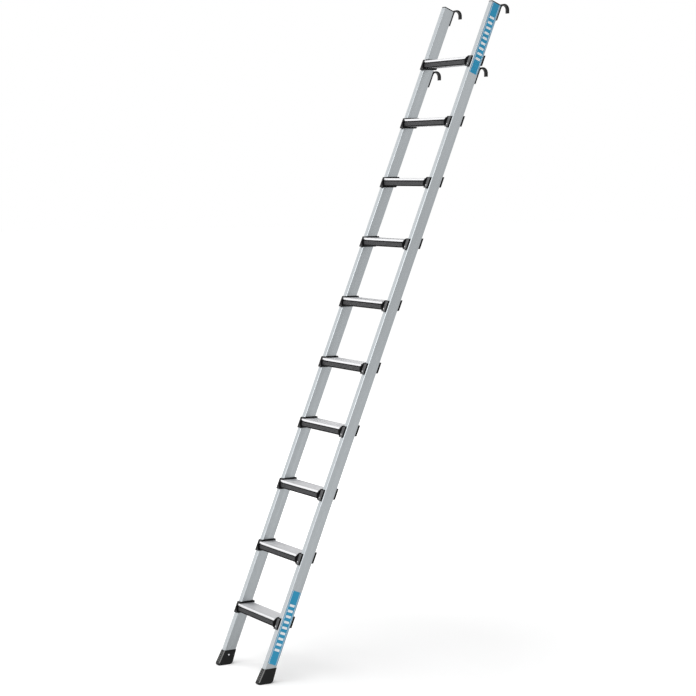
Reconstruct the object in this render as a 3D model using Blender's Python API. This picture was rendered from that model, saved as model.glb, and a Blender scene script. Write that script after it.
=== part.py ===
"""Leaning hook-on shelf ladder: two box stiles, ten treads in moulded brackets, four hooks and two feet.

Metres, +Z up. X runs across the ladder, the top leans towards +Y, and the soles stand on Z = 0.
"""

import math

import bmesh
import bpy

for leftover in list(bpy.data.objects):
    bpy.data.objects.remove(leftover, do_unlink=True)

# Overall sizes
TREAD_COUNT = 10
TREAD_PITCH = 0.280  # along the stile
FIRST_RISE = 0.260  # floor to the top of the lowest tread
LEAN_DEGREES = 68.0  # stile against the floor
OUTER_WIDTH = 0.390
TOP_OVERRUN = 0.2455  # stile left above the top tread, along the stile

# Stile box section
STILE_WIDTH = 0.028
STILE_DEPTH = 0.051
STILE_WALL = 0.002
STILE_CORNER = 0.0045

# Tread channel and its nosing strip
TREAD_FRONT = 0.044  # nosing face ahead of the stile's axis at the tread's top
TREAD_BACK = 0.026
TREAD_HEIGHT = 0.0345
TREAD_WALL = 0.002
TREAD_LIP = 0.009
BULLNOSE_HEIGHT = 0.009
BULLNOSE_RADIUS = 0.0045
NOSING_THICKNESS = 0.005
NOSING_RIBS = 3
NOSING_GROOVE = 0.001
NOSING_GROOVE_SHARE = 0.5  # groove width against a rib's
TONGUE_HEIGHT = 0.0065
TONGUE_DEPTH = 0.002

# Tread bracket, a saddle round the stile with a spigot in the tread
WEB_THICKNESS = 0.0055
RIM_ABOVE = 0.0055
RIM_BELOW = 0.0065
NOSE_AHEAD = 0.009  # bracket nose ahead of the nosing
NOSE_DROP = 0.0115  # nose's upper corner below the tread's top
NOSE_CHAMFER = 0.010  # nose's lower corner, cut off at 45 degrees
FRONT_LIP = 0.0065
BACK_LIP = 0.0075
WEB_RIM = 0.001  # web behind the back lip, and above and below both lips
FRONT_SETBACK = 0.005  # front lip stops short of the stile's outer face
BACK_SETBACK = 0.002
WEB_CORNER = 0.0045
SPIGOT_LENGTH = 0.024

# Hooks of bent flat steel
HOOK_WIDTH = 0.020
HOOK_THICKNESS = 0.007
HOOK_RADIUS = 0.0215  # bend, to the middle of the strip
HOOK_SHANK = 0.059
HOOK_DROP = 0.015
HOOK_BELOW_TOP = 0.0045  # start of the upper bend below the stile's end
HOOK_BELOW_BRACKET = 0.0205  # start of the lower bend below the top tread's bracket
HOOK_BEND_STEPS = 12

# Feet, caps and rivets
FOOT_HEIGHT = 0.062
FOOT_WALL = 0.0018
TOE_FLARE = 0.008  # at the floor
HEEL_FLARE = 0.006
FOOT_ROUND = 0.010  # toe and heel edges of the sole
FOOT_ROUND_STEPS = 3
SOLE_THICKNESS = 0.009
CAP_THICKNESS = 0.0045
CAP_PLUG = 0.010
RIVET_RADIUS = 0.0025
RIVET_HEAD_RADIUS = 0.00475
RIVET_HEAD_HEIGHT = 0.0022
RIVET_BULB_RADIUS = 0.0034
RIVET_BULB_LENGTH = 0.004
RIVET_BULB_TAPER = 0.7  # share of the bulb's radius left at its tip, and of its length that is straight
RIVET_SIDES = 16
HOOK_RIVET_INSET = 0.013  # rivet from either end of the shank
FOOT_RIVET_BELOW_TOP = 0.020

GAP = 0.0003  # between pieces that touch
CORNER_STEPS = 3
SHARP_ANGLE = math.radians(35)  # edges sharper than this aren't shaded smooth

# Worked out from the above
LEAN = math.radians(LEAN_DEGREES)
SIN = math.sin(LEAN)
COS = math.cos(LEAN)
TAN = math.tan(LEAN)
STILE_X = (OUTER_WIDTH - STILE_WIDTH) / 2
INNER_X = OUTER_WIDTH / 2 - STILE_WIDTH
HALF_DEPTH = STILE_DEPTH / 2
RISE = TREAD_PITCH * SIN
TOP_TREAD_Z = FIRST_RISE + (TREAD_COUNT - 1) * RISE
STILE_TOP = TOP_TREAD_Z / SIN + TOP_OVERRUN
TREAD_LENGTH = 2 * (INNER_X - WEB_THICKNESS - 2 * GAP)
BRACKET_BOTTOM = -TREAD_HEIGHT - RIM_BELOW
FOOT_OUT = FOOT_WALL + GAP
HOOK_MIDDLE = HALF_DEPTH + GAP + HOOK_THICKNESS / 2
HOOK_TURN = math.pi / 2 + LEAN
UPPER_BEND = STILE_TOP - HOOK_BELOW_TOP
LOWER_BEND = (TOP_TREAD_Z + BRACKET_BOTTOM + HALF_DEPTH * COS) / SIN - HOOK_BELOW_BRACKET


def material(name, colour, roughness, metallic):
    made = bpy.data.materials.new(name)
    made.use_nodes = True
    shader = made.node_tree.nodes["Principled BSDF"]
    shader.inputs["Base Color"].default_value = (*colour, 1.0)
    shader.inputs["Roughness"].default_value = roughness
    shader.inputs["Metallic"].default_value = metallic
    return made


def mesh_from(bm, name):
    bmesh.ops.recalc_face_normals(bm, faces=bm.faces)
    mesh = bpy.data.meshes.new(name)
    bm.to_mesh(mesh)
    bm.free()
    return mesh


def stack(name, rings, tube=False):
    """Skins a row of rings with equal counts; a tube joins the last ring to the first, else the ends are closed."""
    bm = bmesh.new()
    layers = [[bm.verts.new(point) for point in ring] for ring in rings]
    pairs = list(zip(layers, layers[1:]))
    if tube:
        pairs.append((layers[-1], layers[0]))
    count = len(layers[0])
    for low, high in pairs:
        for i in range(count):
            j = (i + 1) % count
            bm.faces.new((low[i], low[j], high[j], high[i]))
    if not tube:
        bm.faces.new(layers[0])
        bm.faces.new(layers[-1])
    return mesh_from(bm, name)


def extruded(name, outline, start, end):
    """A (y, z) outline drawn out along X."""
    return stack(name, [[(x, y, z) for y, z in outline] for x in (start, end)])


def arc(centre, radius, start, end, steps):
    """Points of an arc, with the angles in degrees."""
    angles = [math.radians(start + (end - start) * i / steps) for i in range(steps + 1)]
    return [(centre[0] + radius * math.cos(a), centre[1] + radius * math.sin(a)) for a in angles]


def rounded(corners, radius):
    """An outline with each corner rounded by an arc tangent to its two sides."""
    points = []
    for i, here in enumerate(corners):
        before = corners[i - 1]
        after = corners[(i + 1) % len(corners)]
        first = math.atan2(before[1] - here[1], before[0] - here[0])
        last = math.atan2(after[1] - here[1], after[0] - here[0])
        turn = (last - first + math.pi) % (2 * math.pi) - math.pi
        half = abs(turn) / 2
        middle = first + turn / 2
        reach = radius / math.sin(half)
        centre = (here[0] + reach * math.cos(middle), here[1] + reach * math.sin(middle))
        sweep = math.copysign(math.pi - abs(turn), turn)
        start = middle + math.pi + sweep / 2
        for step in range(CORNER_STEPS + 1):
            angle = start - sweep * step / CORNER_STEPS
            points.append((centre[0] + radius * math.cos(angle), centre[1] + radius * math.sin(angle)))
    return points


def section(width, depth, radius):
    """A rectangle with round corners, in the stile's own x and y."""
    x = width / 2
    y = depth / 2
    return rounded([(-x, -y), (x, -y), (x, y), (-x, y)], radius)


def level(points, height):
    """Section points carried along the stile to a horizontal cut at this height."""
    return [(x, y, (height + y * COS) / SIN) for x, y in points]


def square(points, along):
    return [(x, y, along) for x, y in points]


def turned(name, axis, profile):
    """A round piece from (distance along the axis, radius) pairs, about local x or y."""
    rings = []
    for along, radius in profile:
        ring = []
        for i in range(RIVET_SIDES):
            a = 2 * math.pi * i / RIVET_SIDES
            u = radius * math.cos(a)
            v = radius * math.sin(a)
            ring.append((along, u, v) if axis == "x" else (u, along, v))
        rings.append(ring)
    return stack(name, rings)


def place(name, mesh, look, parent, location=(0, 0, 0), smooth=False):
    made = bpy.data.objects.new(name, mesh)
    bpy.context.scene.collection.objects.link(made)
    if look.name not in mesh.materials:
        mesh.materials.append(look)
    if smooth:
        mesh.shade_smooth()
        mesh.set_sharp_from_angle(angle=SHARP_ANGLE)
    made.parent = parent
    made.location = location
    return made


def empty(name, parent=None, location=(0, 0, 0), tilt=0.0):
    made = bpy.data.objects.new(name, None)
    bpy.context.scene.collection.objects.link(made)
    made.parent = parent
    made.location = location
    made.rotation_euler = (tilt, 0, 0)
    return made


def boolean(target, cutter, operation):
    change = target.modifiers.new(cutter.name, "BOOLEAN")
    change.operation = operation
    change.object = cutter
    change.solver = "EXACT"
    cutter.hide_render = True
    cutter.display_type = "WIRE"


def bored(target, name, cutters):
    """Takes a group of cutters from one piece in a single cut."""
    group = bpy.data.collections.new(name)
    for cutter in cutters:
        group.objects.link(cutter)
    change = target.modifiers.new(name, "BOOLEAN")
    change.operation = "DIFFERENCE"
    change.operand_type = "COLLECTION"
    change.collection = group
    change.solver = "EXACT"


def joined(name, meshes, look):
    """One mesh from overlapping solids, united."""
    base = place(name + "_body", meshes[0], look, None)
    others = [place(f"{name}_add_{i}", mesh, look, None) for i, mesh in enumerate(meshes[1:])]
    for other in others:
        boolean(base, other, "UNION")
    bpy.context.view_layer.update()
    graph = bpy.context.evaluated_depsgraph_get()
    result = bpy.data.meshes.new_from_object(base.evaluated_get(graph))
    result.name = name
    for helper in [base, *others]:
        bpy.data.objects.remove(helper, do_unlink=True)
    return result


def rivet_profile(inside, outside, side):
    """A blind rivet through a wall: bulb under `inside`, head on `outside`, pointing to `side`."""
    head = outside + GAP
    bulb = inside - GAP
    dome = [
        (head + RIVET_HEAD_HEIGHT * math.sin(a), RIVET_HEAD_RADIUS * math.cos(a))
        for a in (0.0, math.radians(35), math.radians(65))
    ]
    profile = [
        (bulb - RIVET_BULB_LENGTH, RIVET_BULB_RADIUS * RIVET_BULB_TAPER),
        (bulb - RIVET_BULB_LENGTH * RIVET_BULB_TAPER, RIVET_BULB_RADIUS),
        (bulb, RIVET_BULB_RADIUS),
        (bulb, RIVET_RADIUS),
        (head, RIVET_RADIUS),
        *dome,
    ]
    return [(side * along, radius) for along, radius in profile]


def rivet_hole(name, axis, inside, outside, side, parent, location):
    past = STILE_WALL
    profile = [(side * (inside - past), RIVET_RADIUS + GAP), (side * (outside + past), RIVET_RADIUS + GAP)]
    return place(name, turned(name, axis, profile), STEEL, parent, location)


def stile_mesh():
    outer = section(STILE_WIDTH, STILE_DEPTH, STILE_CORNER)
    inner = section(STILE_WIDTH - 2 * STILE_WALL, STILE_DEPTH - 2 * STILE_WALL, STILE_CORNER / 2)
    bottom = SOLE_THICKNESS + GAP
    rings = [level(outer, bottom), square(outer, STILE_TOP), square(inner, STILE_TOP), level(inner, bottom)]
    return stack("stile", rings, tube=True)


def foot_mesh():
    """A boot with a pocket for the stile, a front and back that flare downwards, and a rounded toe and heel."""
    grow = 2 * FOOT_OUT
    outer = section(STILE_WIDTH + grow, STILE_DEPTH + grow, STILE_CORNER + FOOT_OUT)
    pocket = section(STILE_WIDTH + 2 * GAP, STILE_DEPTH + 2 * GAP, STILE_CORNER + GAP)
    bends = [math.pi / 2 * i / FOOT_ROUND_STEPS for i in range(FOOT_ROUND_STEPS + 1)]
    heights = [FOOT_ROUND * (1 - math.cos(bend)) for bend in bends] + [FOOT_HEIGHT]
    rings = []
    for height in heights:
        ring = []
        low = max(0.0, 1 - height / FOOT_ROUND)
        inset = FOOT_ROUND * (1 - math.sqrt(1 - low * low))
        for x, y, z in level(outer, height):
            share = y / (HALF_DEPTH + FOOT_OUT)
            flare = (TOE_FLARE if share < 0 else HEEL_FLARE) * (1 - height / FOOT_HEIGHT)
            shift = (flare - inset) * share
            ring.append((x, y + shift * SIN, z + shift * COS))
        rings.append(ring)
    rings.append(level(pocket, FOOT_HEIGHT))
    rings.append(level(pocket, SOLE_THICKNESS))
    return stack("foot", rings)


def cap_mesh():
    plug = section(STILE_WIDTH - 2 * (STILE_WALL + GAP), STILE_DEPTH - 2 * (STILE_WALL + GAP), STILE_CORNER / 2)
    plate = section(STILE_WIDTH, STILE_DEPTH, STILE_CORNER)
    seat = STILE_TOP + GAP
    rings = [square(plug, STILE_TOP - CAP_PLUG), square(plug, seat), square(plate, seat)]
    return stack("cap", [*rings, square(plate, seat + CAP_THICKNESS)])


def tread_mesh():
    """An open channel: top plate, round front edge, grooved front wall, back wall along the stile, bottom lips."""
    front = -TREAD_FRONT
    wall = front + NOSING_THICKNESS
    inside = wall + TREAD_WALL + TONGUE_DEPTH
    bottom = -TREAD_HEIGHT
    slot = (bottom - BULLNOSE_HEIGHT) / 2
    half = TONGUE_HEIGHT / 2
    back_low = TREAD_BACK + bottom / TAN
    under = -TREAD_WALL
    lip_top = bottom + TREAD_WALL
    slope = TREAD_WALL / SIN
    outline = [
        (TREAD_BACK, 0),
        *arc((front + BULLNOSE_RADIUS, -BULLNOSE_RADIUS), BULLNOSE_RADIUS, 90, 180, CORNER_STEPS),
        (front, -BULLNOSE_HEIGHT),
        (wall, -BULLNOSE_HEIGHT),
        (wall, slot + half),
        (wall + TONGUE_DEPTH, slot + half),
        (wall + TONGUE_DEPTH, slot - half),
        (wall, slot - half),
        (wall, bottom),
        (inside + TREAD_LIP, bottom),
        (inside + TREAD_LIP, lip_top),
        (inside, lip_top),
        (inside, under),
        (TREAD_BACK - slope + under / TAN, under),
        (TREAD_BACK - slope + lip_top / TAN, lip_top),
        (back_low - slope - TREAD_LIP, lip_top),
        (back_low - slope - TREAD_LIP, bottom),
        (back_low, bottom),
    ]
    return extruded("tread", outline, -TREAD_LENGTH / 2, TREAD_LENGTH / 2)


def nosing_mesh():
    """A strip with horizontal ribs on its face and a tongue in the tread's groove."""
    face = -TREAD_FRONT
    back = face + NOSING_THICKNESS - GAP
    top = -BULLNOSE_HEIGHT - GAP
    bottom = -TREAD_HEIGHT
    middle = (-TREAD_HEIGHT - BULLNOSE_HEIGHT) / 2
    half = TONGUE_HEIGHT / 2 - GAP
    rib = (top - bottom) / (NOSING_RIBS + (NOSING_RIBS - 1) * NOSING_GROOVE_SHARE)
    outline = []
    for i in range(NOSING_RIBS):
        upper = top - i * rib * (1 + NOSING_GROOVE_SHARE)
        if i:
            outline.append((face + NOSING_GROOVE, upper))
        outline.append((face, upper))
        outline.append((face, upper - rib))
        if i < NOSING_RIBS - 1:
            outline.append((face + NOSING_GROOVE, upper - rib))
    outline += [
        (back, bottom),
        (back, middle - half),
        (back + TONGUE_DEPTH, middle - half),
        (back + TONGUE_DEPTH, middle + half),
        (back, middle + half),
        (back, top),
    ]
    return extruded("tread_nosing", outline, -TREAD_LENGTH / 2, TREAD_LENGTH / 2)


def bracket_mesh(side):
    """The web on the stile's inner face, a lip over its front and back faces, and the spigot under the tread."""
    top = RIM_ABOVE
    bottom = BRACKET_BOTTOM
    nose = -TREAD_FRONT - NOSE_AHEAD
    back = (HALF_DEPTH + BACK_LIP + WEB_RIM) / SIN
    web = rounded(
        [
            (top / TAN + back, top),
            (top / TAN - (HALF_DEPTH + FRONT_LIP) / SIN, top),
            (nose, -NOSE_DROP),
            (nose, bottom + NOSE_CHAMFER),
            (nose + NOSE_CHAMFER, bottom),
            (bottom / TAN + back, bottom),
        ],
        WEB_CORNER,
    )
    inner = -side * WEB_THICKNESS
    meshes = [extruded("web", web, inner, -side * GAP)]
    for name, near, far, setback in (
        ("front_lip", -HALF_DEPTH - GAP, -HALF_DEPTH - FRONT_LIP, FRONT_SETBACK),
        ("back_lip", HALF_DEPTH + GAP, HALF_DEPTH + BACK_LIP, BACK_SETBACK),
    ):
        high = top - WEB_RIM
        low = bottom + WEB_RIM
        outline = [
            (high / TAN + near / SIN, high),
            (high / TAN + far / SIN, high),
            (low / TAN + far / SIN, low),
            (low / TAN + near / SIN, low),
        ]
        meshes.append(extruded(name, outline, inner / 2, side * (STILE_WIDTH - setback)))
    front = -TREAD_FRONT + NOSING_THICKNESS + TREAD_WALL + TONGUE_DEPTH + GAP
    ceiling = -TREAD_WALL - GAP
    floor = -TREAD_HEIGHT + TREAD_WALL + GAP
    rear = TREAD_BACK + (floor - TREAD_WALL) / TAN - TREAD_WALL / SIN - 2 * GAP
    spigot = [(front, floor), (rear, floor), (rear, ceiling), (front, ceiling)]
    meshes.append(extruded("spigot", spigot, inner - side * SPIGOT_LENGTH, inner / 2))
    return joined("bracket", meshes, BRACKET)


def hook_mesh(bend):
    """Flat strip: a shank up the stile's back face, a bend backwards, and a tip that hangs plumb."""
    path = [(HOOK_MIDDLE, bend - HOOK_SHANK, 0.0)]
    for i in range(HOOK_BEND_STEPS + 1):
        turn = HOOK_TURN * i / HOOK_BEND_STEPS
        y = HOOK_MIDDLE + HOOK_RADIUS * (1 - math.cos(turn))
        path.append((y, bend + HOOK_RADIUS * math.sin(turn), turn))
    y, z, turn = path[-1]
    path.append((y + HOOK_DROP * math.sin(turn), z + HOOK_DROP * math.cos(turn), turn))
    rings = []
    for y, z, turn in path:
        out = (-math.cos(turn) * HOOK_THICKNESS / 2, math.sin(turn) * HOOK_THICKNESS / 2)
        x = HOOK_WIDTH / 2
        rings.append([
            (-x, y + out[0], z + out[1]),
            (x, y + out[0], z + out[1]),
            (x, y - out[0], z - out[1]),
            (-x, y - out[0], z - out[1]),
        ])
    return stack("hook", rings)


STILE = material("stile_aluminium", (0.62, 0.64, 0.65), 0.38, 1.0)
TREAD = material("tread_aluminium", (0.70, 0.71, 0.72), 0.32, 1.0)
NOSING = material("nosing_plastic", (0.030, 0.031, 0.034), 0.55, 0.0)
BRACKET = material("bracket_plastic", (0.020, 0.020, 0.022), 0.45, 0.0)
HOOK = material("hook_steel", (0.012, 0.012, 0.013), 0.40, 0.0)
FOOT = material("foot_plastic", (0.024, 0.024, 0.026), 0.60, 0.0)
CAP = material("cap_plastic", (0.020, 0.020, 0.021), 0.50, 0.0)
STEEL = material("rivet_steel", (0.75, 0.75, 0.76), 0.25, 1.0)

ladder = empty("ladder")

# Treads with their nosings and brackets
tread = tread_mesh()
nosing = nosing_mesh()
brackets = {"left": bracket_mesh(-1), "right": bracket_mesh(1)}
for step in range(TREAD_COUNT):
    number = f"{step + 1:02d}"
    z = FIRST_RISE + step * RISE
    y = z / TAN
    place(f"tread_{number}", tread, TREAD, ladder, (0, y, z), smooth=True)
    place(f"tread_nosing_{number}", nosing, NOSING, ladder, (0, y, z))
    for hand, side in (("left", -1), ("right", 1)):
        place(f"tread_bracket_{hand}_{number}", brackets[hand], BRACKET, ladder, (side * INNER_X, y, z), smooth=True)

# Each stile with its foot, cap, hooks and rivets, in a frame leaned with the stile
for hand, side in (("left", -1), ("right", 1)):
    lean = empty(f"lean_{hand}", ladder, (side * STILE_X, 0, 0), LEAN - math.pi / 2)
    stile = place(f"stile_{hand}", stile_mesh(), STILE, lean, smooth=True)
    foot = place(f"foot_{hand}", foot_mesh(), FOOT, lean, smooth=True)
    place(f"top_cap_{hand}", cap_mesh(), CAP, lean, smooth=True)

    wall = STILE_WIDTH / 2 - STILE_WALL
    outside = STILE_WIDTH / 2 + FOOT_OUT
    spot = (0, 0, (FOOT_HEIGHT - FOOT_RIVET_BELOW_TOP) / SIN)
    rivet = turned("foot_rivet", "x", rivet_profile(wall, outside, -side))
    place(f"foot_rivet_{hand}", rivet, STEEL, lean, spot, smooth=True)
    hole = rivet_hole(f"foot_hole_{hand}", "x", wall, outside, -side, lean, spot)
    boolean(foot, hole, "DIFFERENCE")
    holes = [hole]

    for level_name, bend in (("lower", LOWER_BEND), ("upper", UPPER_BEND)):
        hook = place(f"hook_{level_name}_{hand}", hook_mesh(bend), HOOK, lean, smooth=True)
        wall = HALF_DEPTH - STILE_WALL
        outside = HALF_DEPTH + GAP + HOOK_THICKNESS
        for end, along in (
            ("a", bend - HOOK_RIVET_INSET),
            ("b", bend - HOOK_SHANK + HOOK_RIVET_INSET),
        ):
            tag = f"{level_name}_{hand}_{end}"
            rivet = turned("hook_rivet", "y", rivet_profile(wall, outside, 1))
            place(f"hook_rivet_{tag}", rivet, STEEL, lean, (0, 0, along), smooth=True)
            hole = rivet_hole(f"hook_hole_{tag}", "y", wall, outside, 1, lean, (0, 0, along))
            boolean(hook, hole, "DIFFERENCE")
            holes.append(hole)
    bored(stile, f"stile_holes_{hand}", holes)

# The origin lies on the floor under the middle of the ladder's own depth
bpy.context.view_layer.update()
solids = [piece for piece in bpy.context.scene.objects if piece.type == "MESH" and not piece.hide_render]
depths = [(piece.matrix_world @ vertex.co).y for piece in solids for vertex in piece.data.vertices]
ladder.location.y = -(min(depths) + max(depths)) / 2
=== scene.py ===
import math

import bmesh
import bpy
from mathutils import Matrix, Vector


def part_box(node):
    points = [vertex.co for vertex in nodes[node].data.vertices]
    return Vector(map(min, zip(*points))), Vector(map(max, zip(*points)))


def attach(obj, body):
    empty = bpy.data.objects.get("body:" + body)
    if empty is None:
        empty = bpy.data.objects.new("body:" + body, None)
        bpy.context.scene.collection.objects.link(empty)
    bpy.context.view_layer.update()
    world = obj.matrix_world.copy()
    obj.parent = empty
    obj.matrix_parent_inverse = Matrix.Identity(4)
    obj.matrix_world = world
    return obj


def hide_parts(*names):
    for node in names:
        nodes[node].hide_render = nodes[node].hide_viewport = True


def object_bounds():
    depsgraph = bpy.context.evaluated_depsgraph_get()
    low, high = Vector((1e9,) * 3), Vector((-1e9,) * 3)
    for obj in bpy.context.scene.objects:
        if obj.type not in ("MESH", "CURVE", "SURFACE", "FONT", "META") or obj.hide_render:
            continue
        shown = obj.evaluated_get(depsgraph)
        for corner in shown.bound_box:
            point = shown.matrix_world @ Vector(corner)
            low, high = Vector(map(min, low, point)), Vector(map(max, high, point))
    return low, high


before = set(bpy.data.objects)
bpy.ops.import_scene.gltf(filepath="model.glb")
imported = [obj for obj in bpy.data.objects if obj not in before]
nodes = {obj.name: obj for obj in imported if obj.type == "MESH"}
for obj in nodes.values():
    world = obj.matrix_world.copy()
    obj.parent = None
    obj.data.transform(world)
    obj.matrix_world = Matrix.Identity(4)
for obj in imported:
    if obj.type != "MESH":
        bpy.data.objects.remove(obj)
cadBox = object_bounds()
hands = {"left": -1, "right": 1}
levels = ("lower", "upper")

# the lean frame: every stile, hook, foot and cap lies square to it
treadNames = sorted(name for name in nodes if name.removeprefix("tread_").isdigit())
treadCount = len(treadNames)
lowestTread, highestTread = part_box(treadNames[0])[0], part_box(treadNames[-1])[0]
pitch = (highestTread - lowestTread) / (treadCount - 1)  # one tread to the next
along = pitch.normalized()  # up the stiles
rear = Vector((0, along.z, -along.y))  # square to the stiles, away from the climber
across = Vector((1, 0, 0))
plumb = Vector((0, 0, 1))
leanTurn = math.atan2(along.y, along.z)  # turn about X that stands a stile upright

# what all the meshes share
meshLook = {"sharpAngle": 35,  # degrees, past which an edge isn't shaded smooth
            "facing": 0.985,  # a normal this near to a direction faces that way
            "mergeDistance": 0.00001, "flatAngle": 1, "ribSteps": 6}


def spanOf(name, direction):  # how far a node reaches along a direction, least and most
    reach = [direction.dot(vertex.co) for vertex in nodes[name].data.vertices]
    return min(reach), max(reach)


def seatedSpot(name, direction, seat):  # a node's middle, slid along a direction onto its seat
    low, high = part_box(name)
    middle = (low + high) / 2
    return middle + direction * (seat - direction.dot(middle))


def leanPoint(x, depth, height):
    return across * x + rear * depth + along * height


def levelCut(depth, z):  # how far up the stile a level cut at this height meets this depth
    return (z - rear.z * depth) / along.z


def arcPoints(centre, radius, start, end, steps):
    turns = [math.radians(start + (end - start) * i / steps) for i in range(steps + 1)]
    return [(centre[0] + radius * math.cos(t), centre[1] + radius * math.sin(t)) for t in turns]


def roundBox(x0, x1, y0, y1, radius, steps):
    corners = ((x1, y1, 0), (x0, y1, 90), (x0, y0, 180), (x1, y0, 270))
    middleX, middleY = (x0 + x1) / 2, (y0 + y1) / 2
    points = []
    for x, y, turn in corners:
        centre = (x - math.copysign(radius, x - middleX), y - math.copysign(radius, y - middleY))
        points += arcPoints(centre, radius, turn, turn + 90, steps)
    return points


def skin(rings, ring=False):  # rings of equal counts; the ends are closed unless the last meets the first
    bm = bmesh.new()
    layers = [[bm.verts.new(point) for point in row] for row in rings]
    pairs = list(zip(layers, layers[1:]))
    if ring:
        pairs.append((layers[-1], layers[0]))
    for low, high in pairs:
        for i in range(len(low)):
            j = (i + 1) % len(low)
            bm.faces.new((low[i], low[j], high[j], high[i]))
    if not ring:
        bm.faces.new(layers[0])
        bm.faces.new(layers[-1])
    bmesh.ops.recalc_face_normals(bm, faces=bm.faces)
    return bm


def drawn(outline, x0, x1):  # a (y, z) outline drawn out across the ladder
    return skin([[(x, y, z) for y, z in outline] for x in (x0, x1)])


def plainMesh(bm, name):
    mesh = bpy.data.meshes.new(name)
    bm.to_mesh(mesh)
    bm.free()
    return mesh


# a half-round rib along X, raised along a direction from a root sunk in what carries it
def barUnit(x0, x1, width, height, sink, direction, name):
    side = across.cross(direction)
    bends = [math.pi * i / meshLook["ribSteps"] for i in range(meshLook["ribSteps"] + 1)]
    profile = [(width / 2 * math.cos(bend), height * math.sin(bend)) for bend in bends]
    profile += [(-width / 2, -sink), (width / 2, -sink)]
    rings = [[across * x + side * u + direction * v for u, v in profile] for x in (x0, x1)]
    return plainMesh(skin(rings), name)


def moved(mesh, shift, name):
    copy = mesh.copy()
    copy.name = name
    copy.transform(Matrix.Translation(shift))
    return copy


def addPiece(mesh, finish, stoodFor=()):  # the piece takes its mesh's name
    piece = bpy.data.objects.new(mesh.name, mesh)
    bpy.context.scene.collection.objects.link(piece)
    mesh.materials.clear()
    mesh.materials.append(finish)
    mesh.shade_smooth()
    mesh.set_sharp_from_angle(angle=math.radians(meshLook["sharpAngle"]))
    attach(piece, "root")
    if stoodFor:
        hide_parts(*stoodFor)


def facesTowards(bm, direction):
    return [face for face in bm.faces if face.normal.dot(direction) > meshLook["facing"]]


def widestFace(bm, direction):
    return max(facesTowards(bm, direction), key=lambda face: face.calc_area())


def foremostFace(bm, direction, leastArea):
    broad = [face for face in facesTowards(bm, direction) if face.calc_area() > leastArea]
    return max(broad, key=lambda face: direction.dot(face.calc_center_median()))


def wearAndHighlightReady(bm):  # makes room for the marks of wear and painted highlight, before any face is picked
    bm.faces.layers.float.new("wearAndHighlight")
    return bm


def wearAndHighlight(bm, faces, share):  # marks faces painted lighter: wear where hands, shoes or the floor rub, and painted highlight on lit edges, ribs and panels
    layer = bm.faces.layers.float["wearAndHighlight"]
    for face in faces:
        face[layer] = share


def addWearAndHighlight(bm, mesh, share):  # joins a mesh to a build, with all its faces marked for wear and painted highlight
    before = len(bm.faces)
    bm.from_mesh(mesh)
    bm.faces.ensure_lookup_table()
    wearAndHighlight(bm, bm.faces[before:], share)


# trees for what repeats or follows a path
def treeWith(name, inputs):
    tree = bpy.data.node_groups.new(name, "GeometryNodeTree")
    tree.interface.new_socket("Geometry", in_out="INPUT", socket_type="NodeSocketGeometry")
    for label, kind in inputs:
        tree.interface.new_socket(label, in_out="INPUT", socket_type="NodeSocket" + kind)
    tree.interface.new_socket("Geometry", in_out="OUTPUT", socket_type="NodeSocketGeometry")
    return tree, tree.nodes.new("NodeGroupInput"), tree.nodes.new("NodeGroupOutput")


def endTree(tree, given, result, last):  # every tree ends in real geometry with its finish
    solid = tree.nodes.new("GeometryNodeRealizeInstances")
    paint = tree.nodes.new("GeometryNodeSetMaterial")
    tree.links.new(last, solid.inputs["Geometry"])
    tree.links.new(solid.outputs["Geometry"], paint.inputs["Geometry"])
    tree.links.new(given.outputs["Finish"], paint.inputs["Material"])
    tree.links.new(paint.outputs["Geometry"], result.inputs["Geometry"])


def makeRowTree():  # one unit repeated at a set step
    inputs = (("Count", "Int"), ("Start", "Vector"), ("Step", "Vector"), ("Finish", "Material"))
    tree, given, result = treeWith("pitchRow", inputs)
    line = tree.nodes.new("GeometryNodeMeshLine")
    line.mode = "OFFSET"
    spread = tree.nodes.new("GeometryNodeInstanceOnPoints")
    tree.links.new(given.outputs["Count"], line.inputs["Count"])
    tree.links.new(given.outputs["Start"], line.inputs["Start Location"])
    tree.links.new(given.outputs["Step"], line.inputs["Offset"])
    tree.links.new(line.outputs["Mesh"], spread.inputs["Points"])
    tree.links.new(given.outputs["Geometry"], spread.inputs["Instance"])
    endTree(tree, given, result, spread.outputs["Instances"])
    return tree


def makeStripTree():  # flat strip that follows a bent path
    inputs = (("Width", "Float"), ("Thickness", "Float"), ("Edge", "Float"), ("Edge Steps", "Int"),
              ("Finish", "Material"))
    tree, given, result = treeWith("bentStrip", inputs)
    path = tree.nodes.new("GeometryNodeMeshToCurve")
    aim = tree.nodes.new("GeometryNodeSetCurveNormal")
    aim.mode = "FREE"
    aim.inputs["Normal"].default_value = across
    outline = tree.nodes.new("GeometryNodeCurvePrimitiveQuadrilateral")
    soften = tree.nodes.new("GeometryNodeFilletCurve")
    soften.mode = "POLY"
    sweep = tree.nodes.new("GeometryNodeCurveToMesh")
    sweep.inputs["Fill Caps"].default_value = True
    tree.links.new(given.outputs["Geometry"], path.inputs["Mesh"])
    tree.links.new(path.outputs["Curve"], aim.inputs["Curve"])
    tree.links.new(given.outputs["Width"], outline.inputs["Width"])
    tree.links.new(given.outputs["Thickness"], outline.inputs["Height"])
    tree.links.new(outline.outputs["Curve"], soften.inputs["Curve"])
    tree.links.new(given.outputs["Edge"], soften.inputs["Radius"])
    tree.links.new(given.outputs["Edge Steps"], soften.inputs["Count"])
    tree.links.new(aim.outputs["Curve"], sweep.inputs["Curve"])
    tree.links.new(soften.outputs["Curve"], sweep.inputs["Profile Curve"])
    endTree(tree, given, result, sweep.outputs["Mesh"])
    return tree


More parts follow.
